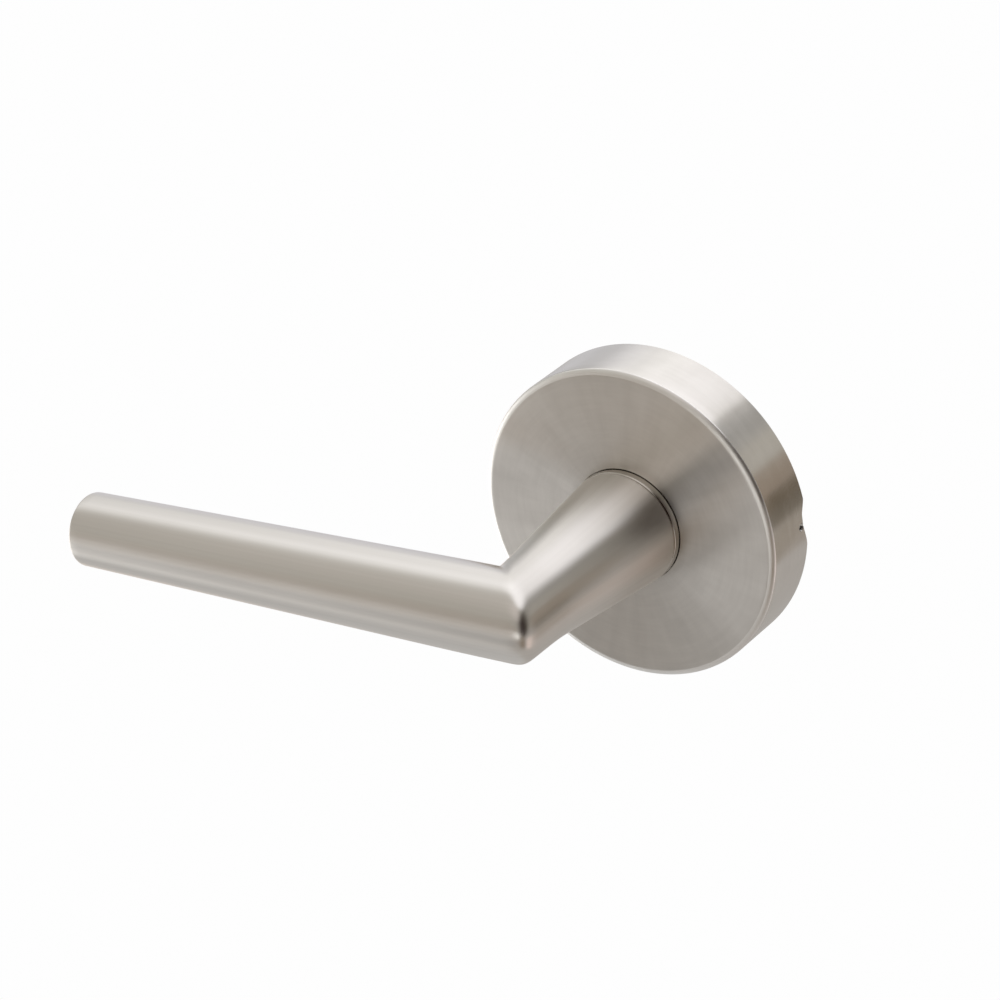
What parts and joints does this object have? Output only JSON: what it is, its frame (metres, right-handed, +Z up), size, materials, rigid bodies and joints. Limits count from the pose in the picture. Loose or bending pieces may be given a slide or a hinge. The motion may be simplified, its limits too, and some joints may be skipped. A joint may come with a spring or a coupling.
{
  "type": "door lever handle",
  "caption": "Straight round lever on a conical neck, turning on a round sprung rose, with a square spindle and fixing screws for the door.",
  "frame": {"origin": "on the spin axis, where it meets the door's face", "axes": "+Z up, +Y into the door along the spin axis, and the lever points along -X at rest"},
  "size_m": [0.1352, 0.0936, 0.066],
  "materials": {
    "satin_nickel": "satin, finely brushed along the lever and in circles on the rose",
    "bright_nickel": "smooth turned nickel",
    "zinc_plated_steel": "bright zinc plating",
    "spring_steel": "oiled spring steel",
    "black_oxide_steel": "black oxide",
    "black_nylon": "moulded nylon"
  },
  "bodies": {
    "rose": {"rose_cover": "satin_nickel", "mounting_plate": "zinc_plated_steel", "spring_housing": "zinc_plated_steel", "housing_rivet_top": "zinc_plated_steel", "housing_rivet_bottom": "zinc_plated_steel", "rest_stop_pin": "spring_steel", "turned_stop_pin": "spring_steel", "spring_anchor_pin": "spring_steel", "return_spring": "spring_steel", "cover_clip_top": "spring_steel", "cover_clip_left": "spring_steel", "cover_clip_right": "spring_steel", "collar_ring": "bright_nickel", "neck_bush": "black_nylon", "fixing_screw_left": "zinc_plated_steel", "fixing_screw_right": "zinc_plated_steel", "wave_washer": "spring_steel"},
    "lever": {"lever_neck": "satin_nickel", "lever_grip": "satin_nickel", "grip_end_cap": "satin_nickel", "lever_hub": "zinc_plated_steel", "grub_screw": "black_oxide_steel", "spindle": "zinc_plated_steel", "stop_cam": "zinc_plated_steel", "circlip": "spring_steel"}
  },
  "joints": [
    {"name": "lever_turn", "type": "hinge", "parent": "rose", "child": "lever", "pos_m": [0, 0, 0], "axis": [0, -1, 0], "range_deg": [0, 45], "stiffness_Nm_per_rad": 0.9, "springref_deg": -31.51, "deforming": ["return_spring"]}
  ]
}
